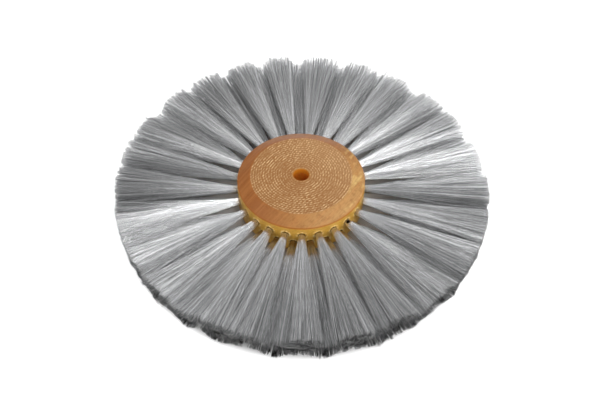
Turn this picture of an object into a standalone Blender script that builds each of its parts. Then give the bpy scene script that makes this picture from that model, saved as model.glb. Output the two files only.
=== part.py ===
"""Wire wheel brush with a wooden hub.

A turned wooden hub carries two staggered rows of steel-wire tufts. Each tuft is a bundle of wires
folded in half. Its folded end passes through a radial hole in the rim into a turned channel, where
one draw wire for each row is threaded through all the folds. A glued cover disc closes the channel.
The spindle bore lies on Z and the hub rests on Z = 0. Metres.
"""

import math

import bmesh
import bpy
from mathutils import Matrix

MM = 0.001

# Hub
BORE_DIAMETER = 6.35 * MM  # 1/4 inch spindle
HUB_DIAMETER = 51.0 * MM
HUB_THICKNESS = 18.0 * MM
FACE_DIAMETER = 41.4 * MM  # flat part of each end face, inside the chamfer
CHAMFER_HEIGHT = 2.4 * MM
COVER_LAND = 0.45 * MM  # straight rim of the cover below its chamfer
GLUE_GAP = 0.3 * MM
CHANNEL_INNER_RADIUS = 9.0 * MM
CHANNEL_OUTER_RADIUS = 16.0 * MM
CHANNEL_FLOOR = 4.0 * MM
HUB_SEGMENTS = 50  # one facet for each hole round the rim

# Rows of holes
TUFTS_PER_ROW = 25
ROW_PITCH = 4.4 * MM  # distance between the two rows along Z
HOLE_DIAMETER = 3.1 * MM
HOLE_SIDES = 10
FIRST_TUFT_ANGLE = math.radians(1.0)  # from -Y towards +X

# Tufts
TIP_RADIUS = 74.5 * MM  # brush radius after trimming
ROOT_DIAMETER = 2.4 * MM  # bundle inside its hole
MOUTH_RADIUS = 26.0 * MM  # where the bundle starts to spread
TIP_HALF_ANGLE = math.radians(6.9)
TIP_HALF_THICKNESS = 2.15 * MM
UPPER_TIP_RISE = 2.1 * MM  # tip centre above root centre
LOWER_TIP_RISE = 1.9 * MM
SECTION_POINTS = 10  # points round a tuft's section, the same above and below

# Folded ends and draw wires
EYE_RADIUS_FROM_AXIS = 14.1 * MM
EYE_DIAMETER = 1.6 * MM
FOLD_HALF_HEIGHT = 1.3 * MM
FOLD_HALF_WIDTH = 1.0 * MM
DRAW_WIRE_DIAMETER = 0.9 * MM
DRAW_WIRE_SEGMENTS = 50
DRAW_WIRE_SIDES = 6

HUB_RADIUS = HUB_DIAMETER / 2
PITCH_ANGLE = 2 * math.pi / TUFTS_PER_ROW
UPPER_ROW_Z = HUB_THICKNESS / 2 + ROW_PITCH / 2
LOWER_ROW_Z = HUB_THICKNESS / 2 - ROW_PITCH / 2
COVER_BOTTOM_Z = HUB_THICKNESS - CHAMFER_HEIGHT - COVER_LAND
BODY_TOP_Z = COVER_BOTTOM_Z - GLUE_GAP


def clear_scene():
    for obj in list(bpy.data.objects):
        bpy.data.objects.remove(obj, do_unlink=True)


def make_material(name, colour, roughness, metallic=0.0):
    material = bpy.data.materials.new(name)
    material.use_nodes = True
    shader = material.node_tree.nodes["Principled BSDF"]
    shader.inputs["Base Color"].default_value = (*colour, 1.0)
    shader.inputs["Roughness"].default_value = roughness
    shader.inputs["Metallic"].default_value = metallic
    return material


def add_object(name, mesh, material=None):
    obj = bpy.data.objects.new(name, mesh)
    bpy.context.scene.collection.objects.link(obj)
    if material is not None and not mesh.materials:
        mesh.materials.append(material)
    return obj


def mesh_from(bm, name, smooth_below=None):
    bmesh.ops.recalc_face_normals(bm, faces=bm.faces)
    mesh = bpy.data.meshes.new(name)
    bm.to_mesh(mesh)
    bm.free()
    if smooth_below is not None:
        mesh.shade_smooth()
        mesh.set_sharp_from_angle(angle=smooth_below)
    return mesh


def polar(radius, angle, z):
    """A point at this distance from the bore axis. Angle 0 is -Y and grows towards +X."""
    return (radius * math.sin(angle), -radius * math.cos(angle), z)


def turned(name, profile, segments, start_angle):
    """A ring turned about Z from a closed profile of (radius, z), each point given its own segment count."""
    bm = bmesh.new()
    rings = []
    for radius, z in profile:
        rings.append(
            [
                bm.verts.new(polar(radius, start_angle + 2 * math.pi * k / segments, z))
                for k in range(segments)
            ]
        )
    for ring, after in zip(rings, rings[1:] + rings[:1]):
        for k in range(segments):
            m = (k + 1) % segments
            bm.faces.new((ring[k], ring[m], after[m], after[k]))
    return mesh_from(bm, name, math.radians(30))


def helper(obj):
    obj.hide_render = True
    obj.display_type = "WIRE"
    return obj


def hole_cutters(name, angles, z):
    """One mesh of separate radial drills for a row of holes."""
    bm = bmesh.new()
    length = HUB_RADIUS + 4 * MM - (CHANNEL_OUTER_RADIUS - 3 * MM)
    middle = (HUB_RADIUS + 4 * MM + CHANNEL_OUTER_RADIUS - 3 * MM) / 2
    for angle in angles:
        # A drill lies along -Y at angle 0, then turns about Z to its hole.
        place = (
            Matrix.Rotation(angle, 4, "Z")
            @ Matrix.Translation((0, -middle, z))
            @ Matrix.Rotation(math.radians(90), 4, "X")
            @ Matrix.Rotation(math.pi / HOLE_SIDES, 4, "Z")
        )
        bmesh.ops.create_cone(
            bm,
            cap_ends=True,
            segments=HOLE_SIDES,
            radius1=HOLE_DIAMETER / 2,
            radius2=HOLE_DIAMETER / 2,
            depth=length,
            matrix=place,
        )
    return helper(add_object(name, mesh_from(bm, name)))


def cut(obj, cutter):
    modifier = obj.modifiers.new("cut_" + cutter.name, "BOOLEAN")
    modifier.operation = "DIFFERENCE"
    modifier.solver = "EXACT"
    modifier.object = cutter


def section(radius, half_width, half_height, centre_z, fullness):
    """Points round a tuft's section at one distance from the axis, as (angle, z) pairs.

    A fullness of 2 is an ellipse, and more squares it off. The points come in pairs at the same
    angle, one above and one below, so that the end faces are made of flat strips."""
    points = []
    for k in range(SECTION_POINTS):
        turn = 2 * math.pi * (k + 0.5) / SECTION_POINTS + math.pi / 2
        c, s = math.cos(turn), math.sin(turn)
        x = math.copysign(abs(c) ** (2 / fullness), c) * half_width
        y = math.copysign(abs(s) ** (2 / fullness), s) * half_height
        points.append((math.asin(x / radius), centre_z + y))
    return points


def tuft_mesh(name, row_z, tip_rise, eye):
    """A tuft along -Y: fold, bundle in the hole, and spread as far as the trimmed tips."""
    root = ROOT_DIAMETER / 2
    nose = EYE_RADIUS_FROM_AXIS - FOLD_HALF_HEIGHT
    tip_half_width = TIP_RADIUS * math.sin(TIP_HALF_ANGLE)
    # (distance from the axis, half width, half height, share of the tip's rise, fullness)
    stations = (
        (nose, FOLD_HALF_WIDTH * 0.8, FOLD_HALF_HEIGHT * 0.55, 0.0, 2.6),
        (EYE_RADIUS_FROM_AXIS - 0.55 * FOLD_HALF_HEIGHT, FOLD_HALF_WIDTH, FOLD_HALF_HEIGHT * 0.9, 0.0, 2.6),
        (EYE_RADIUS_FROM_AXIS, FOLD_HALF_WIDTH, FOLD_HALF_HEIGHT, 0.0, 2.4),
        (CHANNEL_OUTER_RADIUS - 0.4 * MM, root, root, 0.0, 2.0),
        (MOUTH_RADIUS, root, root, 0.0, 2.0),
        (MOUTH_RADIUS + 0.45 * (TIP_RADIUS - MOUTH_RADIUS), 0.5 * tip_half_width, 0.72 * TIP_HALF_THICKNESS, 0.45, 2.3),
        (TIP_RADIUS, tip_half_width, TIP_HALF_THICKNESS, 1.0, 2.7),
    )
    bm = bmesh.new()
    rings = []
    for radius, half_width, half_height, rise, fullness in stations:
        around = section(radius, half_width, half_height, row_z + rise * tip_rise, fullness)
        rings.append([bm.verts.new(polar(radius, angle, z)) for angle, z in around])
    n = SECTION_POINTS
    for inner, outer in zip(rings, rings[1:]):
        for k in range(n):
            m = (k + 1) % n
            bm.faces.new((inner[k], inner[m], outer[m], outer[k]))
    for ring in (rings[0], rings[-1]):
        # Point k and point n - 1 - k share an angle, so each strip between two such pairs is flat.
        for k in range(n // 2 - 1):
            corners = (ring[k], ring[k + 1], ring[n - 2 - k], ring[n - 1 - k])
            bm.faces.new(corners)
    blank = add_object(name + "_blank", mesh_from(bm, name + "_blank"))
    cut(blank, eye)
    helper(blank)
    blank.hide_set(False)
    bpy.context.view_layer.update()
    graph = bpy.context.evaluated_depsgraph_get()
    mesh = bpy.data.meshes.new_from_object(blank.evaluated_get(graph))
    mesh.name = name
    mesh.materials.clear()
    mesh.shade_smooth()
    mesh.set_sharp_from_angle(angle=math.radians(40))
    bpy.data.objects.remove(blank, do_unlink=True)
    return mesh


def eye_cutter(name, row_z):
    """The space that the draw wire passes through, across the fold of a tuft that lies along -Y."""
    bm = bmesh.new()
    bmesh.ops.create_cone(
        bm,
        cap_ends=True,
        segments=8,
        radius1=EYE_DIAMETER / 2,
        radius2=EYE_DIAMETER / 2,
        depth=6 * MM,
        matrix=Matrix.Translation((0, -EYE_RADIUS_FROM_AXIS, row_z))
        @ Matrix.Rotation(math.radians(90), 4, "Y")
        @ Matrix.Rotation(math.pi / 8, 4, "Z"),
    )
    return helper(add_object(name, mesh_from(bm, name)))


def draw_wire_mesh(name, z, start_angle):
    bm = bmesh.new()
    rings = []
    for k in range(DRAW_WIRE_SEGMENTS):
        angle = start_angle + 2 * math.pi * (k + 0.5) / DRAW_WIRE_SEGMENTS
        ring = []
        for j in range(DRAW_WIRE_SIDES):
            turn = 2 * math.pi * j / DRAW_WIRE_SIDES
            radius = EYE_RADIUS_FROM_AXIS + DRAW_WIRE_DIAMETER / 2 * math.cos(turn)
            ring.append(bm.verts.new(polar(radius, angle, z + DRAW_WIRE_DIAMETER / 2 * math.sin(turn))))
        rings.append(ring)
    for ring, after in zip(rings, rings[1:] + rings[:1]):
        for j in range(DRAW_WIRE_SIDES):
            m = (j + 1) % DRAW_WIRE_SIDES
            bm.faces.new((ring[j], ring[m], after[m], after[j]))
    return mesh_from(bm, name, math.radians(70))


def main():
    clear_scene()
    cover_wood = make_material("cover_wood", (0.55, 0.27, 0.11), 0.5)
    body_wood = make_material("body_wood", (0.62, 0.38, 0.09), 0.45)
    steel = make_material("tuft_steel", (0.42, 0.43, 0.45), 0.35, 1.0)
    iron = make_material("draw_wire_iron", (0.3, 0.3, 0.3), 0.45, 1.0)

    hub = bpy.data.objects.new("hub", None)
    bpy.context.scene.collection.objects.link(hub)

    facet_start = FIRST_TUFT_ANGLE + math.pi / HUB_SEGMENTS
    face_radius = FACE_DIAMETER / 2

    inner = BORE_DIAMETER / 2
    body = add_object(
        "hub_body",
        turned(
            "hub_body",
            (
                (inner, 0),
                (face_radius, 0),
                (HUB_RADIUS, CHAMFER_HEIGHT),
                (HUB_RADIUS, BODY_TOP_Z),
                (CHANNEL_OUTER_RADIUS, BODY_TOP_Z),
                (CHANNEL_OUTER_RADIUS, CHANNEL_FLOOR),
                (CHANNEL_INNER_RADIUS, CHANNEL_FLOOR),
                (CHANNEL_INNER_RADIUS, BODY_TOP_Z),
                (inner, BODY_TOP_Z),
            ),
            HUB_SEGMENTS,
            facet_start,
        ),
        body_wood,
    )
    upper_angles = [FIRST_TUFT_ANGLE + k * PITCH_ANGLE for k in range(TUFTS_PER_ROW)]
    lower_angles = [angle + PITCH_ANGLE / 2 for angle in upper_angles]
    cut(body, hole_cutters("upper_hole_drills", upper_angles, UPPER_ROW_Z))
    cut(body, hole_cutters("lower_hole_drills", lower_angles, LOWER_ROW_Z))

    cover = add_object(
        "hub_cover",
        turned(
            "hub_cover",
            (
                (inner, COVER_BOTTOM_Z),
                (HUB_RADIUS, COVER_BOTTOM_Z),
                (HUB_RADIUS, HUB_THICKNESS - CHAMFER_HEIGHT),
                (face_radius, HUB_THICKNESS),
                (inner, HUB_THICKNESS),
            ),
            HUB_SEGMENTS,
            facet_start,
        ),
        cover_wood,
    )

    pieces = [body, cover]
    for row, z, rise, angles in (
        ("upper", UPPER_ROW_Z, UPPER_TIP_RISE, upper_angles),
        ("lower", LOWER_ROW_Z, LOWER_TIP_RISE, lower_angles),
    ):
        eye = eye_cutter(row + "_eye", z)
        mesh = tuft_mesh("tuft_" + row, z, rise, eye)
        for k, angle in enumerate(angles):
            tuft = add_object(f"tuft_{row}_{k + 1:02d}", mesh, steel)
            tuft.rotation_euler = (0, 0, angle)
            pieces.append(tuft)
        wire = add_object("draw_wire_" + row, draw_wire_mesh("draw_wire_" + row, z, angles[0]), iron)
        pieces.append(wire)
    for piece in pieces:
        piece.parent = hub


main()
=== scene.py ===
"""Looks of the wire wheel brush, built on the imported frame. Lengths in the code are millimetres
and are turned into metres when a mesh is made. Angle 0 is -Y and grows towards +X."""

import math

import bpy
import numpy as np
from mathutils import Matrix, Vector


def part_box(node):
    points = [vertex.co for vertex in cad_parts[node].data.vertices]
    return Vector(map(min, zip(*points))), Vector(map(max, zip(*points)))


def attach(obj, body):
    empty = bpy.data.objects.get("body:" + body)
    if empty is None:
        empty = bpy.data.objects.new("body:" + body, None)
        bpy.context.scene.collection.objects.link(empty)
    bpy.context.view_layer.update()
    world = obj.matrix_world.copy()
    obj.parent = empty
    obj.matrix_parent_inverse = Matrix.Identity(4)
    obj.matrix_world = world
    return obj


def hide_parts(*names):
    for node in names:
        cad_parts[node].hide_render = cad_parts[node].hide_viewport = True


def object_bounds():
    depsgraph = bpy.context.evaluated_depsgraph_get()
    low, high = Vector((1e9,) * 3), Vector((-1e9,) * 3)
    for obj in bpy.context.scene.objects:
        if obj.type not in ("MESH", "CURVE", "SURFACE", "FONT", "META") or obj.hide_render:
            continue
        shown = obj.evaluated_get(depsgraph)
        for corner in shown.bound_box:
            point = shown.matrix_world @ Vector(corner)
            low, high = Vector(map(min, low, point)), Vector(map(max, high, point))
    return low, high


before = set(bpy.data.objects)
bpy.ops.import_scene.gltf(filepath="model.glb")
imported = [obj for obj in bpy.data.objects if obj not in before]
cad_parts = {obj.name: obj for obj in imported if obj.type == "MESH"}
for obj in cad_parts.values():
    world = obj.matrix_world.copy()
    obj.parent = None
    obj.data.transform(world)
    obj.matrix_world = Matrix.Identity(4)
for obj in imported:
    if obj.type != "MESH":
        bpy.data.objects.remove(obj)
CAD_LOW, CAD_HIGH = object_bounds()
MM = 0.001
RNG = np.random.default_rng(25)

# Sizes read from the frame
COVER_LOW, COVER_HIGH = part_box("hub_cover")
BODY_LOW, BODY_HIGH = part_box("hub_body")
HUB_TOP = COVER_HIGH.z / MM
SEAM = COVER_LOW.z / MM
HUB_R = (COVER_HIGH.x - COVER_LOW.x) / 2 / MM
TIP_R = CAD_HIGH.x / MM
BORE_R = 3.175
FACE_R = 20.7
CHAMFER = 2.4
LAND = 0.45
CHANNEL_IN, CHANNEL_OUT, CHANNEL_FLOOR = 9.0, 16.0, 4.0
HOLE_R = 1.42
PER_ROW = 25
PITCH = 2 * math.pi / PER_ROW
FIRST = math.radians(1.0)
ROW_Z = {"upper": HUB_TOP / 2 + 2.2, "lower": HUB_TOP / 2 - 2.2}
ROW_START = {"upper": FIRST, "lower": FIRST + PITCH / 2}
EYE_R = 14.1


# ---------------------------------------------------------------- meshes
def add(name, mesh, material):
    obj = bpy.data.objects.new(name, mesh)
    bpy.context.scene.collection.objects.link(obj)
    mesh.materials.append(material)
    return obj


def quads(name, points, faces, smooth, corner_uv=None, point_colour=None, on_end=None):
    """A mesh of quads from arrays. points are in millimetres. An edge between two points of on_end is sharp."""
    mesh = bpy.data.meshes.new(name)
    mesh.vertices.add(len(points))
    mesh.vertices.foreach_set("co", (points * MM).astype(np.float32).ravel())
    mesh.loops.add(faces.size)
    mesh.loops.foreach_set("vertex_index", faces.astype(np.int32).ravel())
    mesh.polygons.add(len(faces))
    mesh.polygons.foreach_set("loop_start", np.arange(0, faces.size, 4, dtype=np.int32))
    mesh.update(calc_edges=True)
    mesh.polygons.foreach_set("use_smooth", smooth)
    if point_colour is not None:
        layer = mesh.color_attributes.new(name="wire", type="FLOAT_COLOR", domain="POINT")
        layer.data.foreach_set("color", point_colour.astype(np.float32).ravel())
    if corner_uv is not None:
        mesh.uv_layers.new(name="OFBake").data.foreach_set("uv", corner_uv.astype(np.float32).ravel())
    if on_end is not None:
        ends = np.empty(len(mesh.edges) * 2, np.int32)
        mesh.edges.foreach_get("vertices", ends)
        mesh.edges.foreach_set("use_edge_sharp", on_end[ends.reshape(-1, 2)].all(1))
    mesh.validate()
    mesh.update()
    return mesh


class Surface:
    """Points and quads gathered from strips that share their rings."""

    def __init__(self):
        self.points, self.faces, self.count = [], [], 0

    def ring(self, points):
        index = np.arange(self.count, self.count + len(points))
        self.points.append(np.asarray(points, float))
        self.count += len(points)
        return index

    def strip(self, low, high, closed=True):
        """Quads from ring low to ring high, facing the side from which low to high turns left."""
        a, b = np.asarray(low), np.asarray(high)
        if closed:
            self.faces.append(np.stack([a, np.roll(a, -1), np.roll(b, -1), b], 1))
        else:
            self.faces.append(np.stack([a[:-1], a[1:], b[1:], b[:-1]], 1))

    def mesh(self, name, sharp=35):
        """Merges points that coincide, so that strips meet in one surface."""
        points = np.concatenate(self.points)
        faces = np.concatenate(self.faces)
        _, first, back = np.unique(np.round(points, 4), axis=0, return_index=True, return_inverse=True)
        mesh = quads(name, points[first], back.reshape(-1)[faces], np.ones(len(faces), bool))
        mesh.set_sharp_from_angle(angle=math.radians(sharp))
        return mesh


def circle(radius, z, segments, start=FIRST):
    t = start + 2 * math.pi * np.arange(segments) / segments
    radius, z = np.broadcast_to(radius, t.shape), np.broadcast_to(z, t.shape)
    return np.stack([radius * np.sin(t), -radius * np.cos(t), z], 1)


def rounded(profile, radius, steps=4):
    """A profile of (r, z) points whose inner corners are rounded by this radius, or by each point's third number."""
    out = [profile[0][:2]]
    for before, here, after in zip(profile, profile[1:], profile[2:]):
        amount = here[2] if len(here) > 2 else radius
        p, q, s = (np.array(v[:2], float) for v in (before, here, after))
        if amount <= 0:
            out.append(tuple(q))
            continue
        a, b = (p - q) / np.linalg.norm(p - q), (s - q) / np.linalg.norm(s - q)
        reach = min(amount, 0.45 * np.linalg.norm(p - q), 0.45 * np.linalg.norm(s - q))
        start, end = q + a * reach, q + b * reach
        for k in range(steps + 1):
            t = k / steps
            out.append(tuple((1 - t) ** 2 * start + 2 * t * (1 - t) * q + t**2 * end))
    out.append(profile[-1][:2])
    return out


def along(points, spacing):
    """The profile with points added so that none is further than this from the next."""
    out = [points[0]]
    for p, q in zip(points, points[1:]):
        n = max(1, int(math.ceil(math.hypot(q[0] - p[0], q[1] - p[1]) / spacing)))
        out += [(p[0] + (q[0] - p[0]) * k / n, p[1] + (q[1] - p[1]) * k / n) for k in range(1, n + 1)]
    return out


# ---------------------------------------------------------------- hub
AROUND = 200  # 8 for each hole, so that a cell's corners fall on the turned rings
CELL = 8  # steps along each side of a hole's cell
CELL_HALF = 2.2


def wobble(radius, z, amount):
    """Slow unevenness of a turned surface, the same on every run."""
    return amount * (np.sin(2.3 * radius + 1.7 * z) * 0.5 + np.sin(5.1 * radius + 0.6) * 0.3 + np.sin(9.7 * radius + 2.2 * z) * 0.2)


def hole_cell(surface, wall, angle, z, inner_first, torn, rng):
    """The wall round one hole: a rectangle of the wall one pitch wide, down to the hole's round edge."""
    n = 4 * CELL
    side = np.linspace(-1, 1, CELL + 1)[:-1]
    half = wall * PITCH / 2
    edge = np.concatenate(
        [
            np.stack([side * half, np.full(CELL, -CELL_HALF)], 1),
            np.stack([np.full(CELL, half), side * CELL_HALF], 1),
            np.stack([-side * half, np.full(CELL, CELL_HALF)], 1),
            np.stack([np.full(CELL, -half), -side * CELL_HALF], 1),
        ]
    )
    turn = np.arctan2(edge[:, 1] / CELL_HALF, edge[:, 0] / half)
    lip = 0.16 + 0.05 * np.sin(3 * turn + rng.uniform(0, 6)) + 0.05 * rng.normal(size=n) if torn else np.full(n, 0.12)
    lip = np.clip(lip, 0.06, 0.3)
    rings = []

    def place(flat, radius, sink=0.0):
        r = radius - sink
        t = angle + np.arcsin(np.clip(flat[:, 0] / radius, -1, 1)) * 1.0
        return np.stack([r * np.sin(t), -r * np.cos(t), z + flat[:, 1]], 1)

    unit = np.stack([np.cos(turn), np.sin(turn)], 1)
    # On the wall the outer edge of the cell keeps its own angles, so the flat distance is measured along the arc.
    def on_wall(flat, sink):
        t = angle + flat[:, 0] / wall
        r = wall - sink
        return np.stack([r * np.sin(t), -r * np.cos(t), z + flat[:, 1]], 1)

    rim = unit * (HOLE_R + lip)[:, None]
    for share in (1.0, 0.72, 0.45, 0.2, 0.0):
        flat = rim + (edge - rim) * share
        raised = 0.12 * math.exp(-((share - 0.1) ** 2) / 0.02) * (1 + 0.5 * rng.normal(size=n)) if torn else 0.0
        rings.append(on_wall(flat, -np.maximum(raised, 0) if share < 0.9 else 0.0))
    depth = 0.22 if torn else 0.1
    rings.append(on_wall(unit * (HOLE_R + lip * 0.35)[:, None], 0.35 * depth))
    rings.append(on_wall(unit * HOLE_R, depth * (1.0 + 0.25 * rng.normal(size=n)) if torn else depth))
    return [surface.ring(r) for r in rings]


def hub_body():
    surface = Surface()
    rng = np.random.default_rng(7)
    low_z, high_z = ROW_Z["lower"] - CELL_HALF, ROW_Z["upper"] + CELL_HALF
    top = SEAM - 0.04
    chamfer_top = (HUB_R, CHAMFER)
    outside = along(
        rounded(
            [(BORE_R, 9.0), (BORE_R, 0, 0.35), (FACE_R, 0, 0.5), (*chamfer_top, 0.35), (HUB_R, low_z)], 0.3
        ),
        0.5,
    )
    top_part = along(rounded([(HUB_R, high_z), (HUB_R, top, 0.22), (CHANNEL_OUT, top, 0.1), (CHANNEL_OUT, high_z)], 0.2), 0.6)
    inside = along(
        rounded([(CHANNEL_OUT, low_z), (CHANNEL_OUT, CHANNEL_FLOOR, 0.3), (CHANNEL_IN, CHANNEL_FLOOR, 0.3), (CHANNEL_IN, top, 0.15), (BORE_R, top, 0.1), (BORE_R, 9.0)], 0.2),
        0.8,
    )
    for profile in (outside, top_part, inside):
        rings = []
        for r, z in profile:
            dz = 0.0
            if z < 0.02 and BORE_R + 0.5 < r < FACE_R - 0.6:
                dz = 0.02 + wobble(r, 0, 0.02)
            rings.append(surface.ring(circle(r, z + dz, AROUND)))
        for a, b in zip(rings, rings[1:]):
            surface.strip(a, b)
    for row in ("upper", "lower"):
        for k in range(PER_ROW):
            angle = ROW_START[row] + k * PITCH
            outer = hole_cell(surface, HUB_R, angle, ROW_Z[row], True, True, rng)
            inner = hole_cell(surface, CHANNEL_OUT, angle, ROW_Z[row], False, False, rng)
            for a, b in zip(outer, outer[1:]):
                surface.strip(a, b)
            for a, b in zip(inner, inner[1:]):
                surface.strip(a, b)
            surface.strip(outer[-1], inner[-1])
    return close(surface.mesh("hub_body_turned"))


def hub_cover():
    surface = Surface()
    profile = along(
        rounded(
            [
                (BORE_R, 16.6),
                (BORE_R, SEAM, 0.1),
                (HUB_R, SEAM, 0.16),
                (HUB_R, HUB_TOP - CHAMFER, 0.45),
                (FACE_R, HUB_TOP, 0.55),
                (BORE_R, HUB_TOP, 0.34),
                (BORE_R, 16.6),
            ],
            0.3,
        ),
        0.22,
    )[:-1]
    rings = []
    for r, z in profile:
        dz = 0.0
        if z > HUB_TOP - 0.01 and BORE_R + 0.6 < r < FACE_R - 0.8:
            dz = -0.02 + wobble(r, 0, 0.018)
        rings.append(surface.ring(circle(r, z + dz, AROUND)))
    for a, b in zip(rings, rings[1:] + rings[:1]):
        surface.strip(a, b)
    return close(surface.mesh("hub_cover_turned"))


def close(mesh):
    """Turns every face outwards."""
    import bmesh

    bm = bmesh.new()
    bm.from_mesh(mesh)
    bmesh.ops.recalc_face_normals(bm, faces=bm.faces)
    bm.to_mesh(mesh)
    bm.free()
    mesh.update()
    return mesh


def draw_wire(name, z):
    """A ring of soft iron wire. It dips a little where each fold pulls on it."""
    n, sides = 400, 12
    t = ROW_START[name] + 2 * math.pi * np.arange(n) / n
    sag = 0.05 * np.cos(PER_ROW * (t - ROW_START[name]))
    surface = Surface()
    rings = []
    for j in range(sides):
        turn = 2 * math.pi * j / sides
        r = EYE_R + sag + 0.45 * math.cos(turn)
        rings.append(surface.ring(np.stack([r * np.sin(t), -r * np.cos(t), z + np.full(n, 0.45 * math.sin(turn))], 1)))
    for a, b in zip(rings, rings[1:] + rings[:1]):
        surface.strip(a, b)
    return close(surface.mesh("draw_wire_" + name + "_drawn", sharp=80))


# ---------------------------------------------------------------- tufts
FOLDED = 330  # wires in a tuft, each folded in half, so twice as many tips
WIRE_R = 0.06
SIDES = 4
BUNDLE_R = 1.20
STATIONS = (50.0, 29.5, 24.9, 17.0)  # distances from the axis between tip and fold
FAN = {"upper": 5.8, "lower": 6.5}  # half angle of the spread, degrees
TIP_MID = {"upper": 13.35, "lower": 8.85}
TIP_HALF = {"upper": 4.4, "lower": 5.1}
LEAN = -0.7
SECTION = 3.6  # 2 gives tufts an elliptical section at the tips, more a squarer one


def squarer(a, b, power):
    """Moves points of the unit disc out towards a superellipse."""
    r = np.hypot(a, b)
    c, s = np.abs(a) / np.maximum(r, 1e-6), np.abs(b) / np.maximum(r, 1e-6)
    k = (c**power + s**power) ** (-1 / power)
    return a * k, b * k


def strands(a, b, row, rng, lean, spread, trim, clump_of, clump_a, clump_b, clump_push, end_shade_patch):
    """Paths of one half of each folded wire, from its tip to the channel, as (tangential, radial, height)."""
    n = len(a)
    fan = math.radians(FAN[row]) * spread
    wa, wb = squarer(a, b, SECTION)
    pull = 0.25
    wa = wa * (1 - pull) + clump_a[clump_of] * pull + clump_push[clump_of, 0] + rng.normal(0, 0.06, n)
    wb = wb * (1 - pull) + clump_b[clump_of] * pull + clump_push[clump_of, 1] + rng.normal(0, 0.055, n)
    stray = rng.random(n) < 0.06
    wa = wa + stray * rng.normal(0, 0.22, n)
    wb = wb + stray * rng.normal(0, 0.22, n)
    wa, wb = np.clip(wa, -1.25, 1.25), np.clip(wb, -1.06, 1.06)
    length = TIP_R - trim - np.abs(rng.normal(0, 0.16, n)) + clump_push[clump_of, 2] - stray * rng.random(n) * 1.6
    # A tuft hangs out a little where its low wire ends are painted dark, and draws back beside that
    low = np.clip(-wb, 0, 1)
    length = length + low * (1.0 * end_shade_patch[0] * np.exp(-(((wa - end_shade_patch[1]) / 0.38) ** 2)) - 1.4)
    length = np.minimum(length, TIP_R + 0.9)
    angle = lean + wa * fan
    tip_t, tip_r = length * np.sin(angle), length * np.cos(angle)
    tip_z = TIP_MID[row] + wb * TIP_HALF[row]
    root_t, root_z = a * BUNDLE_R, ROW_Z[row] + b * BUNDLE_R
    bow_t, bow_z = rng.normal(0, 0.24, n), rng.normal(0, 0.18, n)
    path = [np.stack([tip_t, tip_r, tip_z], 1)]
    for r in STATIONS[:-2]:
        s = (r - 25.2) / (tip_r - 25.2)
        h, k = s**1.04, s**1.15
        arch = np.sin(math.pi * s)
        path.append(
            np.stack(
                [root_t + (tip_t - root_t) * k + bow_t * arch, np.full(n, r), root_z + (tip_z - root_z) * h + bow_z * arch], 1
            )
        )
    for r, tighten in ((STATIONS[-2], 1.0), (STATIONS[-1], 0.97)):
        path.append(np.stack([root_t * tighten, np.full(n, r), ROW_Z[row] + b * BUNDLE_R * tighten], 1))
    return np.stack(path, 1), tip_z, angle - lean


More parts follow.
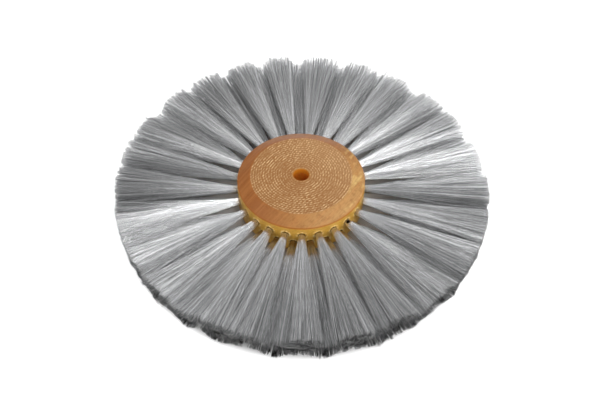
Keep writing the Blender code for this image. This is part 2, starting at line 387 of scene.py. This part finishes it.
def tuft(row, number, material):
    rng = np.random.default_rng(1000 * (row == "lower") + number + 11)
    n = FOLDED
    # Places in the upper half of the bundle; the other half of each wire lies mirrored below.
    k = np.arange(2 * n) + 0.5
    radius, turn = (k / (2 * n)) ** 0.45, k * math.pi * (3 - math.sqrt(5))
    a, b = radius * np.cos(turn), radius * np.sin(turn)
    keep = np.argsort(-b)[:n]
    a, b = a[keep], np.maximum(b[keep], 0.04)
    order = rng.permutation(n)
    a, b = a[order] + rng.normal(0, 0.02, n), b[order]
    clumps = 44
    seat = rng.permutation(n)[:clumps]
    halves = []
    lean = math.radians(LEAN + rng.normal(0, 1.2))
    spread = 1 + rng.normal(0, 0.07)
    # The brush is worn a little shorter on one side
    trim = 0.8 * max(0.0, math.cos(ROW_START[row] + (number - 1) * PITCH + math.radians(97))) ** 2 + abs(rng.normal(0, 0.15))
    # The patch of painted shade on the ends of each tuft has its own strength and place
    end_shade_patch = rng.uniform(0.5, 1.15) * (1.35 if row == "lower" else 1.0), rng.normal(0, 0.3)
    for sign in (1, -1):
        ca, cb = squarer(a[seat], sign * b[seat], SECTION)
        wa, wb = squarer(a, sign * b, SECTION)
        of = np.argmin((wa[:, None] - ca) ** 2 + (wb[:, None] - cb) ** 2, axis=1)
        push = np.stack([rng.normal(0, 0.05, clumps), rng.normal(0, 0.04, clumps), rng.normal(0, 0.28, clumps)], 1)
        halves.append(strands(a, sign * b, row, rng, lean, spread, trim, of, ca, cb, push, end_shade_patch) + (of + (clumps if sign < 0 else 0),))
    fold_r = 0.56 + 0.72 * b
    fold = []
    for turn in (90, 135, 180, 225, 270):
        t = math.radians(turn)
        fold.append(np.stack([0.72 * a * BUNDLE_R, EYE_R + fold_r * math.cos(t), ROW_Z[row] + fold_r * math.sin(t)], 1))
    centre = np.concatenate([halves[0][0], np.stack(fold, 1), halves[1][0][:, ::-1]], 1)
    rings = centre.shape[1]
    along_axis = np.empty_like(centre)
    along_axis[:, 1:-1] = centre[:, 2:] - centre[:, :-2]
    along_axis[:, 0], along_axis[:, -1] = centre[:, 1] - centre[:, 0], centre[:, -1] - centre[:, -2]
    along_axis /= np.linalg.norm(along_axis, axis=2, keepdims=True)
    across = np.array([1.0, 0, 0]) - along_axis[..., :1] * along_axis
    across /= np.linalg.norm(across, axis=2, keepdims=True)
    third = np.cross(along_axis, across)
    roll = rng.uniform(0, math.pi / 2, n)[:, None] + 2 * math.pi * np.arange(SIDES) / SIDES
    # Each wire stands for several finer ones, so it is thinner where they lie close and thicker at the tip
    taper = np.concatenate([[1.32, 1.1, 0.87, 0.8, 0.78], np.full(5, 0.78), [0.78, 0.8, 0.87, 1.1, 1.32]])
    size = WIRE_R * rng.uniform(0.9, 1.12, n)[:, None, None] * taper[None, :, None]
    c, s = (np.cos(roll)[:, None] * size)[..., None], (np.sin(roll)[:, None] * size)[..., None]
    shell = centre[:, :, None] + c * across[:, :, None] + s * third[:, :, None]
    # Tufts lie along their own angle.
    angle = ROW_START[row] + (number - 1) * PITCH
    x, y, z = shell[..., 0], shell[..., 1], shell[..., 2]
    points = np.stack([x * math.cos(angle) + y * math.sin(angle), x * math.sin(angle) - y * math.cos(angle), z], -1)

    index = np.arange(n * rings * SIDES).reshape(n, rings, SIDES)
    low, high = index[:, :-1], index[:, 1:]
    side = np.stack([low, high, np.roll(high, -1, 2), np.roll(low, -1, 2)], -1)
    caps = np.stack([index[:, 0], index[:, -1, ::-1]], 1)
    faces = np.concatenate([side.reshape(-1, 4), caps.reshape(-1, 4)])
    smooth = np.concatenate([np.ones(side.size // 4, bool), np.zeros(2 * n, bool)])

    # Attribute: R tone of the wire, G how far along the half wire (0 in the channel, 1 at the tip), B how dark its end
    # is painted (painted shade), A tone of its clump
    tone = np.clip(0.5 + rng.normal(0, 0.27, n), 0, 1)
    clump_tone = rng.random(2 * clumps)
    reach = np.concatenate([[1.0, 0.6, 0.3, 0.22, 0.1], np.zeros(5), [0.1, 0.22, 0.3, 0.6, 1.0]])
    # Painted shade: the ends of wires low in the tuft, near the middle of its patch, are painted darkest.
    dark = np.zeros((n, rings))
    for half, ring in ((halves[0], 0), (halves[1], rings - 1)):
        height = (half[1] - (TIP_MID[row] - TIP_HALF[row])) / (2 * TIP_HALF[row])
        aside = (half[2] / (math.radians(FAN[row]) * spread) - end_shade_patch[1]) ** 2
        dark[:, ring] = np.clip((1.45 - 2.6 * height) * end_shade_patch[0] - 5.0 * aside + rng.normal(0, 0.12, n), 0.02, 1)
    group = np.concatenate(
        [np.repeat(clump_tone[halves[0][3]][:, None], rings // 2 + 1, 1), np.repeat(clump_tone[halves[1][3]][:, None], rings - rings // 2 - 1, 1)], 1
    )
    colour = np.stack([np.repeat(tone[:, None], rings, 1), np.broadcast_to(reach, (n, rings)), dark, group], -1)
    colour = np.repeat(colour[:, :, None], SIDES, 2)

    # One narrow column for each wire, in the order of its place
    far = np.broadcast_to(np.linspace(0.004, 0.996, rings)[None, :], (n, rings))
    u0 = (np.arange(n) + 0.06) / n
    du = 0.88 / n / SIDES
    wire = np.broadcast_to(u0[:, None, None], (n, rings - 1, SIDES))
    ks = np.broadcast_to(np.arange(SIDES)[None, None], (n, rings - 1, SIDES))
    v0 = np.broadcast_to(far[:, :-1, None], (n, rings - 1, SIDES))
    v1 = np.broadcast_to(far[:, 1:, None], (n, rings - 1, SIDES))
    ua, ub = wire + ks * du, wire + (ks + 1) * du
    side_uv = np.stack([np.stack([ua, v0], -1), np.stack([ua, v1], -1), np.stack([ub, v1], -1), np.stack([ub, v0], -1)], -2)
    cap_uv = np.empty((n, 2, 4, 2))
    for e, v in ((0, 0.001), (1, 0.999)):
        cap_uv[:, e, :, 0] = u0[:, None] + np.array([0.2, 0.2, 0.8, 0.8]) * 0.88 / n
        cap_uv[:, e, :, 1] = v + np.array([0, 0.002, 0.002, 0]) * (1 if e == 0 else -1)
    uv = np.concatenate([side_uv.reshape(-1, 2), cap_uv.reshape(-1, 2)])
    name = f"wires_{row}_{number:02d}"
    on_end = np.zeros((n, rings, SIDES), bool)
    on_end[:, 0], on_end[:, -1] = True, True
    mesh = quads(name, points.reshape(-1, 3), faces, smooth, uv, colour.reshape(-1, 4), on_end.ravel())
    return add(name, mesh, material)


# ---------------------------------------------------------------- materials
class Nodes:
    """Short names for building a node tree."""

    def __init__(self, name):
        self.material = bpy.data.materials.new(name)
        self.material.use_nodes = True
        self.tree = self.material.node_tree
        self.shader = self.tree.nodes["Principled BSDF"]

    def node(self, kind, **settings):
        made = self.tree.nodes.new("ShaderNode" + kind)
        for key, value in settings.items():
            setattr(made, key, value)
        return made

    def plug(self, socket, value):
        if isinstance(value, bpy.types.NodeSocket):
            self.tree.links.new(value, socket)
        elif isinstance(value, (tuple, list)) and len(value) == 3 and socket.type == "RGBA":
            socket.default_value = (*value, 1.0)
        else:
            socket.default_value = value

    def maths(self, operation, *values, clamp=False):
        made = self.node("Math", operation=operation, use_clamp=clamp)
        for socket, value in zip(made.inputs, values):
            self.plug(socket, value)
        return made.outputs[0]

    def place(self):
        """Position on the object in millimetres, the same in every view."""
        where = self.node("TexCoord").outputs["Object"]
        made = self.node("VectorMath", operation="SCALE")
        self.plug(made.inputs[0], where)
        made.inputs["Scale"].default_value = 1000.0
        return made.outputs[0]

    def split(self, vector):
        made = self.node("SeparateXYZ")
        self.plug(made.inputs[0], vector)
        return made.outputs

    def join(self, x, y, z):
        made = self.node("CombineXYZ")
        for socket, value in zip(made.inputs, (x, y, z)):
            self.plug(socket, value)
        return made.outputs[0]

    def noise(self, vector, scale, detail=3.0, roughness=0.55, distortion=0.0):
        made = self.node("TexNoise")
        self.plug(made.inputs["Vector"], vector)
        self.plug(made.inputs["Scale"], scale)
        made.inputs["Detail"].default_value = detail
        made.inputs["Roughness"].default_value = roughness
        made.inputs["Distortion"].default_value = distortion
        return made.outputs["Fac"]

    def step(self, value, low, high, smooth=True):
        """0 at low, 1 at high."""
        made = self.node("MapRange", interpolation_type="SMOOTHSTEP" if smooth else "LINEAR")
        self.plug(made.inputs["Value"], value)
        self.plug(made.inputs["From Min"], low)
        self.plug(made.inputs["From Max"], high)
        return made.outputs["Result"]

    def mix(self, share, a, b, blend="MIX"):
        made = self.node("Mix", data_type="RGBA", blend_type=blend)
        self.plug(made.inputs[0], share)
        self.plug(made.inputs[6], a)
        self.plug(made.inputs[7], b)
        return made.outputs[2]

    def lerp(self, share, a, b):
        made = self.node("Mix", data_type="FLOAT")
        self.plug(made.inputs[0], share)
        self.plug(made.inputs[2], a)
        self.plug(made.inputs[3], b)
        return made.outputs[0]

    def bump(self, height, strength, distance):
        made = self.node("Bump")
        self.plug(made.inputs["Height"], height)
        made.inputs["Strength"].default_value = strength
        made.inputs["Distance"].default_value = distance
        self.plug(self.shader.inputs["Normal"], made.outputs[0])

    def finish(self, colour, roughness, **others):
        self.plug(self.shader.inputs["Base Color"], colour)
        self.plug(self.shader.inputs["Roughness"], roughness)
        for key, value in others.items():
            self.plug(self.shader.inputs[key.replace("_", " ")], value)
        return self.material


def linear(r, g, b):
    """Scene-linear colour from the 0 to 255 values of a screen."""
    out = []
    for v in (r, g, b):
        v /= 255
        out.append(v / 12.92 if v <= 0.04045 else ((v + 0.055) / 1.055) ** 2.4)
    return tuple(out)


def wood(r, g, b, tone=1.0):
    """Reflectance of a wood tone from how it shows on a screen in this light."""
    return tuple(tone * v for v in linear(r, g, b))


def wood_brightened_for_shade(r, g, b):
    """The same, painted 1.5 times brighter: painted light that makes up for the shade the tufts cast on the rim, used
    also for the bores and the holes.
    """
    return wood(r, g, b, 1.5)


GRAIN = math.radians(56)  # the fibres' direction on the hub, from +X


def grain_frame(n, place, bend=0.006):
    """Coordinates along and across the fibres, slightly bowed, and the distance from the axis."""
    x, y, z = n.split(place)
    along_fibre = n.maths("ADD", n.maths("MULTIPLY", x, math.cos(GRAIN)), n.maths("MULTIPLY", y, math.sin(GRAIN)))
    across = n.maths("ADD", n.maths("MULTIPLY", x, math.sin(GRAIN)), n.maths("MULTIPLY", y, -math.cos(GRAIN)))
    bowed = n.maths("ADD", across, n.maths("MULTIPLY", n.maths("MULTIPLY", along_fibre, along_fibre), bend))
    r = n.maths("SQRT", n.maths("ADD", n.maths("MULTIPLY", x, x), n.maths("MULTIPLY", y, y)))
    return along_fibre, bowed, r, x, y, z


def cover_material():
    n = Nodes("cover_wood_sealed")
    place = n.place()
    along_fibre, across, r, x, y, z = grain_frame(n, place)
    # Fibres, growth bands and the faint rings of the turning tool
    fibre = n.noise(n.join(n.maths("MULTIPLY", along_fibre, 0.12), across, n.maths("MULTIPLY", z, 0.6)), 2.6, 4.0, 0.6)
    band = n.noise(n.join(n.maths("MULTIPLY", along_fibre, 0.03), across, 0.0), 0.5, 3.0, 0.6)
    drift = n.noise(place, 0.16, 2.0, 0.5)
    swing = n.noise(place, 0.55, 2.0, 0.5)
    line = n.maths("SINE", n.maths("MULTIPLY", n.maths("ADD", across, n.maths("MULTIPLY", swing, 1.1)), 2 * math.pi / 1.12))
    ring = n.maths("SINE", n.maths("MULTIPLY", n.maths("ADD", r, n.maths("MULTIPLY", drift, 1.2)), 2 * math.pi / 1.02))
    speck = n.noise(n.join(n.maths("MULTIPLY", along_fibre, 0.6), across, z), 1.4, 2.0, 0.6)
    # Pale flecks where a fibre line meets a tool ring
    ringed, lined = n.step(ring, -0.25, 0.85), n.step(line, -0.25, 0.85)
    broken = n.step(speck, 0.36, 0.6)
    fleck = n.maths("MULTIPLY", n.maths("MULTIPLY", ringed, n.maths("ADD", n.maths("MULTIPLY", lined, 0.6), 0.4)), broken)
    fleck = n.maths("ADD", fleck, n.maths("MULTIPLY", n.maths("MULTIPLY", lined, broken), 0.25), clamp=True)
    quiet = n.step(n.noise(n.join(n.maths("MULTIPLY", along_fibre, 0.3), across, 3.0), 0.23, 2.0), 0.38, 0.62)
    near_bore = n.step(r, 3.5, 10.0)
    fleck = n.maths("MULTIPLY", fleck, n.maths("MULTIPLY", n.lerp(quiet, 0.6, 1.0), n.lerp(near_bore, 0.5, 1.0)))
    face = n.mix(band, wood(150, 99, 52), wood(172, 121, 70))
    face = n.mix(n.maths("MULTIPLY", n.step(fibre, 0.35, 0.7), 0.4), face, wood(146, 96, 54))
    face = n.mix(n.maths("MULTIPLY", fleck, 0.95), face, wood(240, 204, 152))
    # Painted light: the face is painted paler towards +X and +Y, where more light falls on it.
    painted_light_side = n.step(n.maths("ADD", x, n.maths("MULTIPLY", y, 0.8)), -6.0, 26.0)
    face = n.mix(n.maths("MULTIPLY", painted_light_side, 0.22), face, wood(214, 172, 124))
    # The chamfer is darker and glossy, redder on the left and yellower on the right: partly its own tone, partly
    # painted light and shade by side, brighter where the light falls.
    side = n.step(n.maths("ADD", x, n.maths("MULTIPLY", y, -0.35)), -14.0, 24.0)
    side = n.maths("MULTIPLY", side, n.lerp(n.step(y, 4.0, 15.0), 1.0, 0.45))
    edge = n.mix(side, wood(160, 96, 42), wood(196, 148, 88))
    # Painted sheen: the back of the chamfer is painted a pale pinkish tone.
    edge = n.mix(n.maths("MULTIPLY", n.step(y, 12.0, 24.0), 0.7), edge, wood(182, 140, 114))
    # Painted highlight: pale patches on the right of the chamfer, where the light falls.
    patch = n.step(n.noise(n.join(n.maths("MULTIPLY", along_fibre, 0.25), across, z), 0.42, 2.0), 0.5, 0.66)
    edge = n.mix(n.maths("MULTIPLY", patch, n.maths("MULTIPLY", n.step(x, 15.5, 20.5), 0.85)), edge, wood(226, 192, 122))
    dapple = n.noise(place, 0.5, 3.0, 0.6)
    edge = n.mix(n.maths("MULTIPLY", n.step(dapple, 0.5, 0.68), 0.35), edge, wood(140, 88, 38))
    edge = n.mix(n.maths("MULTIPLY", n.step(fibre, 0.4, 0.72), 0.35), edge, wood(140, 76, 36))
    edge = n.mix(n.maths("MULTIPLY", n.step(band, 0.45, 0.62), 0.25), edge, wood(205, 138, 76))
    on_face = n.maths("MULTIPLY", n.step(r, FACE_R - 0.1, FACE_R - 0.9), n.step(z, HUB_TOP - 0.35, HUB_TOP - 0.05))
    colour = n.mix(on_face, edge, face)
    # A deep orange band from the arris down to the glue line, and a pale ring round the bore mouth
    arris_band = n.maths("MULTIPLY", n.step(z, HUB_TOP - CHAMFER + 0.25, HUB_TOP - CHAMFER - 0.15), n.step(r, BORE_R + 4, BORE_R + 6))
    colour = n.mix(n.maths("MULTIPLY", arris_band, 0.75), colour, wood(186, 110, 30))
    # Painted light: the bore wall is painted bright orange, brighter than its wood, to make up for the shade in the
    # bore.
    bore = n.maths("MULTIPLY", n.step(r, BORE_R + 0.06, BORE_R - 0.02), 1.0)
    colour = n.mix(bore, colour, wood_brightened_for_shade(194, 122, 24))
    # Painted highlight: a pale ring on the rounded edge of the bore mouth.
    bore_edge_highlight = n.maths("MULTIPLY", n.step(r, BORE_R + 0.75, BORE_R + 0.25), n.maths("SUBTRACT", 1.0, bore))
    colour = n.mix(n.maths("MULTIPLY", bore_edge_highlight, 0.45), colour, wood(205, 150, 80))
    rough = n.lerp(on_face, n.lerp(fibre, 0.3, 0.46), n.lerp(fleck, 0.5, 0.72))
    height = n.maths("ADD", n.maths("MULTIPLY", n.maths("ADD", n.maths("MULTIPLY", ring, 0.4), fleck), n.lerp(on_face, 0.08, 1.0)), n.maths("MULTIPLY", fibre, 0.6))
    n.bump(height, 0.35, 0.00006)
    return n.finish(colour, rough, Specular_IOR_Level=n.lerp(on_face, 0.28, 0.2))


def body_material():
    n = Nodes("body_wood_sealed")
    place = n.place()
    along_fibre, across, r, x, y, z = grain_frame(n, place)
    fibre = n.noise(n.join(n.maths("MULTIPLY", along_fibre, 0.15), across, n.maths("MULTIPLY", z, 0.9)), 2.2, 4.0, 0.6)
    # Painted light: the rim colours are painted 1.5 times brighter than the wood, against the shade the tufts cast.
    blotch = n.noise(place, 0.35, 3.0, 0.55)
    colour = n.mix(blotch, wood_brightened_for_shade(172, 124, 38), wood_brightened_for_shade(216, 170, 70))
    colour = n.mix(n.maths("MULTIPLY", n.step(fibre, 0.42, 0.7), 0.4), colour, wood_brightened_for_shade(140, 90, 30))
    # Pale rings round the hole mouths, partly chipped wood and partly a painted highlight on the lips: the distance to
    # the nearest hole in each row
    angle = n.maths("ARCTAN2", x, n.maths("MULTIPLY", y, -1.0))
    mouths = None
    for row in ("upper", "lower"):
        turned = n.maths("DIVIDE", n.maths("SUBTRACT", angle, ROW_START[row]), PITCH)
        off = n.maths("SUBTRACT", turned, n.maths("ROUND", turned))
        dx = n.maths("MULTIPLY", off, PITCH * HUB_R)
        dz = n.maths("SUBTRACT", z, ROW_Z[row])
        d = n.maths("SQRT", n.maths("ADD", n.maths("MULTIPLY", dx, dx), n.maths("MULTIPLY", dz, dz)))
        mouths = d if mouths is None else n.maths("MINIMUM", mouths, d)
    frayed = n.maths("ADD", mouths, n.maths("MULTIPLY", n.maths("SUBTRACT", n.noise(place, 1.8, 2.0), 0.5), 0.9))
    on_rim = n.step(r, HUB_R - 0.9, HUB_R - 0.35)
    lip_highlight = n.maths("MULTIPLY", n.step(frayed, 2.55, 1.85), n.maths("MULTIPLY", on_rim, n.step(n.noise(place, 1.3, 2.0), 0.4, 0.6)))
    colour = n.mix(n.maths("MULTIPLY", lip_highlight, 0.85), colour, wood_brightened_for_shade(236, 204, 138))
    # Painted shade: the walls inside the tuft holes are painted dark brown.
    inside = n.maths("MULTIPLY", n.step(mouths, HOLE_R + 0.12, HOLE_R - 0.05), n.step(r, 15.9, 16.1))
    colour = n.mix(n.maths("MULTIPLY", inside, 0.8), colour, wood_brightened_for_shade(96, 58, 20))
    seam = n.step(z, SEAM - 0.45, SEAM - 0.1)
    colour = n.mix(n.maths("MULTIPLY", seam, 0.8), colour, wood_brightened_for_shade(178, 104, 28))
    # Painted light: the bore wall is painted bright orange, brighter than its wood, to make up for the shade in the
    # bore.
    bore = n.step(r, BORE_R + 0.06, BORE_R - 0.02)
    colour = n.mix(bore, colour, wood_brightened_for_shade(176, 98, 22))
    # Underside: the same sanded face as the cover's
    under = n.maths("MULTIPLY", n.step(z, 0.35, 0.05), n.step(r, FACE_R - 0.1, FACE_R - 0.9))
    speck = n.noise(n.join(n.maths("MULTIPLY", along_fibre, 0.4), across, z), 1.7, 2.0, 0.65)
    pale = n.mix(n.step(speck, 0.5, 0.75), wood(166, 108, 62), wood(215, 172, 120))
    colour = n.mix(n.maths("MULTIPLY", under, n.maths("SUBTRACT", 1.0, bore)), colour, pale)
    rough = n.lerp(fibre, 0.34, 0.55)
    n.bump(n.maths("ADD", fibre, n.maths("MULTIPLY", lip_highlight, 0.6)), 0.35, 0.00006)
    return n.finish(colour, rough, Coat_Weight=n.lerp(under, 0.25, 0.0), Coat_Roughness=0.3)


def iron_material():
    n = Nodes("draw_wire_iron")
    place = n.place()
    x, y, z = n.split(place)
    angle = n.maths("ARCTAN2", x, n.maths("MULTIPLY", y, -1.0))
    drawn = n.noise(n.join(n.maths("MULTIPLY", angle, 1.5), n.maths("MULTIPLY", z, 6.0), 0.0), 2.0, 3.0)
    blotch = n.noise(place, 0.6, 3.0)
    colour = n.mix(drawn, (0.16, 0.16, 0.165), (0.36, 0.36, 0.37))
    colour = n.mix(n.maths("MULTIPLY", n.step(blotch, 0.55, 0.75), 0.5), colour, (0.2, 0.13, 0.08))
    return n.finish(colour, n.lerp(blotch, 0.35, 0.6), Metallic=1.0)


def wire_material():
    n = Nodes("tuft_steel_drawn")
    place = n.place()
    x, y, z = n.split(place)
    r = n.maths("SQRT", n.maths("ADD", n.maths("MULTIPLY", x, x), n.maths("MULTIPLY", y, y)))
    layer = n.node("Attribute", attribute_name="wire")
    made = n.node("SeparateColor")
    n.plug(made.inputs[0], layer.outputs["Color"])
    tone, reach, dark = made.outputs
    clump = layer.outputs["Alpha"]
    # Drawn steel: each wire has its own tone, and the tone drifts along it
    drift = n.noise(n.join(n.maths("MULTIPLY", r, 0.12), n.maths("MULTIPLY", tone, 40.0), clump), 1.0, 3.0, 0.6)
    shade = n.maths("ADD", n.maths("ADD", n.maths("MULTIPLY", tone, 0.7), n.maths("MULTIPLY", clump, 0.24)), n.maths("MULTIPLY", drift, 0.4))
    # Painted light: the wires are painted up to 0.28 brighter towards the hub, to lift the shade in the gaps between
    # the tufts.
    root_fill_light = n.step(r, 68.0, 30.0)
    shade = n.step(n.maths("ADD", shade, n.maths("MULTIPLY", root_fill_light, 0.28)), 0.25, 1.2, smooth=False)
    colour = n.mix(shade, (0.5, 0.505, 0.512), (0.985, 0.99, 0.995))
    # Painted reflection of the golden rim on the wire roots, reaching further and stronger on the lower row
    reflection_reach = n.lerp(n.step(z, 10.5, 7.5), 26.9, 28.6)
    reflection_reach = n.maths("ADD", reflection_reach, n.maths("MULTIPLY", n.maths("SUBTRACT", tone, 0.5), 1.6))
    rim_reflection = n.maths("MULTIPLY", n.step(r, n.maths("ADD", reflection_reach, 1.0), n.maths("SUBTRACT", reflection_reach, 1.4)), n.lerp(n.step(z, 10.5, 7.5), 0.35, 0.75))
    colour = n.mix(rim_reflection, colour, (0.62, 0.45, 0.17))
    # A near-black spot on one root
    spot = n.join(n.maths("SUBTRACT", x, 26.6 * math.sin(math.radians(43.6))), n.maths("ADD", y, 26.6 * math.cos(math.radians(43.6))), n.maths("SUBTRACT", z, 12.4))
    away = n.node("VectorMath", operation="LENGTH")
    n.plug(away.inputs[0], spot)
    colour = n.mix(n.step(away.outputs["Value"], 0.95, 0.6), colour, (0.012, 0.011, 0.01))
    # Ends painted dark, most on the wires low in the tuft: painted shade under the wires above, over darker cut ends
    speckle = n.noise(place, 1.6, 2.0)
    start = n.lerp(dark, TIP_R + 0.3, TIP_R - 3.2)
    start = n.maths("ADD", start, n.maths("MULTIPLY", n.maths("SUBTRACT", speckle, 0.5), 1.6))
    end_shade = n.maths("MULTIPLY", n.step(r, start, n.maths("ADD", start, 1.0)), n.maths("MULTIPLY", dark, 0.95))
    colour = n.mix(end_shade, colour, (0.045, 0.043, 0.042))
    return n.finish(colour, 0.17, Metallic=1.0)


def wire_end_material():
    n = Nodes("tuft_steel_cut_end")
    layer = n.node("Attribute", attribute_name="wire")
    made = n.node("SeparateColor")
    n.plug(made.inputs[0], layer.outputs["Color"])
    grit = n.noise(n.place(), 6.0, 3.0)
    colour = n.mix(grit, (0.42, 0.417, 0.41), (0.75, 0.745, 0.74))
    # Painted shade: the cut ends of low wires are painted near black by the B channel, over the grey of cut steel.
    colour = n.mix(n.maths("MULTIPLY", made.outputs[2], 0.9), colour, (0.06, 0.058, 0.055))
    return n.finish(colour, 0.5, Metallic=0.85)


def floor_material():
    """A plain pale sweep that lights itself away from the brush, as a light table does."""
    n = Nodes("plain_pale_floor")
    x, y, z = n.split(n.place())
    r = n.maths("SQRT", n.maths("ADD", n.maths("MULTIPLY", x, x), n.maths("MULTIPLY", y, y)))
    mottle = n.noise(n.place(), 0.02, 2.0)
    colour = n.mix(mottle, (0.86, 0.86, 0.855), (0.9, 0.9, 0.9))
    n.plug(n.shader.inputs["Emission Color"], (1.0, 1.0, 1.0))
    n.plug(n.shader.inputs["Emission Strength"], n.maths("MULTIPLY", n.step(r, 69.0, 73.5), 0.75))
    return n.finish(colour, 0.9)


# ---------------------------------------------------------------- the object
cover = add("hub_cover_finished", hub_cover(), cover_material())
body = add("hub_body_finished", hub_body(), body_material())
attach(cover, "root")
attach(body, "root")
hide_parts("hub_cover")
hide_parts("hub_body")
iron = iron_material()
steel, cut_end = wire_material(), wire_end_material()
for row in ("upper", "lower"):
    ring = add(f"draw_wire_{row}_finished", draw_wire(row, ROW_Z[row]), iron)
    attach(ring, "root")
    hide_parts("draw_wire_" + row)
    for number in range(1, PER_ROW + 1):
        piece = tuft(row, number, steel)
        piece.data.materials.append(cut_end)
        ends = np.zeros(len(piece.data.polygons), np.int32)
        ends[-2 * FOLDED :] = 1
        piece.data.polygons.foreach_set("material_index", ends)
        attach(piece, "root")
        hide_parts(f"tuft_{row}_{number:02d}")


# ---------------------------------------------------------------- stage
floor_mesh = bpy.data.meshes.new("floor")
floor_mesh.from_pydata([(-4, -4, 0), (4, -4, 0), (4, 4, 0), (-4, 4, 0)], [], [(0, 1, 2, 3)])
floor = add("floor", floor_mesh, floor_material())
floor.location.z = -0.0002

world = bpy.data.worlds.new("studio")
bpy.context.scene.world = world
world.use_nodes = True
world.node_tree.nodes["Background"].inputs["Color"].default_value = (1.0, 1.0, 1.0, 1.0)
world.node_tree.nodes["Background"].inputs["Strength"].default_value = 0.5


def softbox(name, position, target, width, height, watts, colour=(1, 1, 1)):
    lamp = bpy.data.lights.new(name, "AREA")
    lamp.shape = "RECTANGLE"
    lamp.size, lamp.size_y = width, height
    lamp.energy = watts
    lamp.color = colour
    obj = bpy.data.objects.new(name, lamp)
    bpy.context.scene.collection.objects.link(obj)
    obj.location = position
    obj.rotation_euler = (Vector(target) - Vector(position)).to_track_quat("-Z", "Y").to_euler()
    return obj


def studio(name, elevation, angle, watts, size=0.22, distance=1.0):
    """A softbox that looks at the brush from this elevation and angle, both in degrees."""
    e, t = math.radians(elevation), math.radians(angle)
    away = Vector((math.cos(e) * math.sin(t), -math.cos(e) * math.cos(t), math.sin(e))) * distance
    return softbox(name, away + Vector((0, 0, 0.01)), (0, 0, 0.01), size, size, watts)


# Softboxes all round, fitted to the tones of the photograph
studio("back_high", 67, 165, 0.81)
studio("back_mid", 44, 165, 0.26)
studio("back_low", 52, 180, 0.10)
studio("back_right", 52, 120, 0.24)
studio("right_high", 67, 75, 0.52)
studio("right_mid", 52, 90, 0.50)
studio("right_low", 36, 112, 0.39)
studio("left_mid", 52, 270, 0.44)
studio("left_front", 67, 300, 0.31)
studio("front_right", 52, 30, 1.75)
studio("front_low_left", 18, 325, 0.85)
studio("front_low_right", 18, 45, 1.60)

# Camera: the view of the photograph, from a fit to the hub's circles
reach, tilt = 12 * HUB_R, math.radians(47.93)
spot = Vector((0, -reach * math.cos(tilt), reach * math.sin(tilt)))
forward = -spot.normalized()
right = Vector((1, 0, 0))
up = right.cross(forward)
yaw, pitch, roll = -0.0012, -0.0313, 0.0094
forward, right = math.cos(yaw) * forward + math.sin(yaw) * right, math.cos(yaw) * right - math.sin(yaw) * forward
forward, up = math.cos(pitch) * forward + math.sin(pitch) * up, math.cos(pitch) * up - math.sin(pitch) * forward
right, up = math.cos(roll) * right + math.sin(roll) * up, math.cos(roll) * up - math.sin(roll) * right
lens = bpy.data.cameras.new("camera")
lens.sensor_fit, lens.sensor_width, lens.lens = "HORIZONTAL", 36.0, 765.8 * 36 / 600
lens.clip_start = 0.01
camera = bpy.data.objects.new("camera", lens)
bpy.context.scene.collection.objects.link(camera)
place = (spot + Vector((0, 0, HUB_TOP - CHAMFER))) * MM
camera.matrix_world = Matrix.Translation(place) @ Matrix((right, up, -forward)).transposed().to_4x4()
bpy.context.scene.camera = camera
bpy.context.scene.view_settings.view_transform = "Standard"
bpy.context.scene.cycles.glossy_bounces = 8
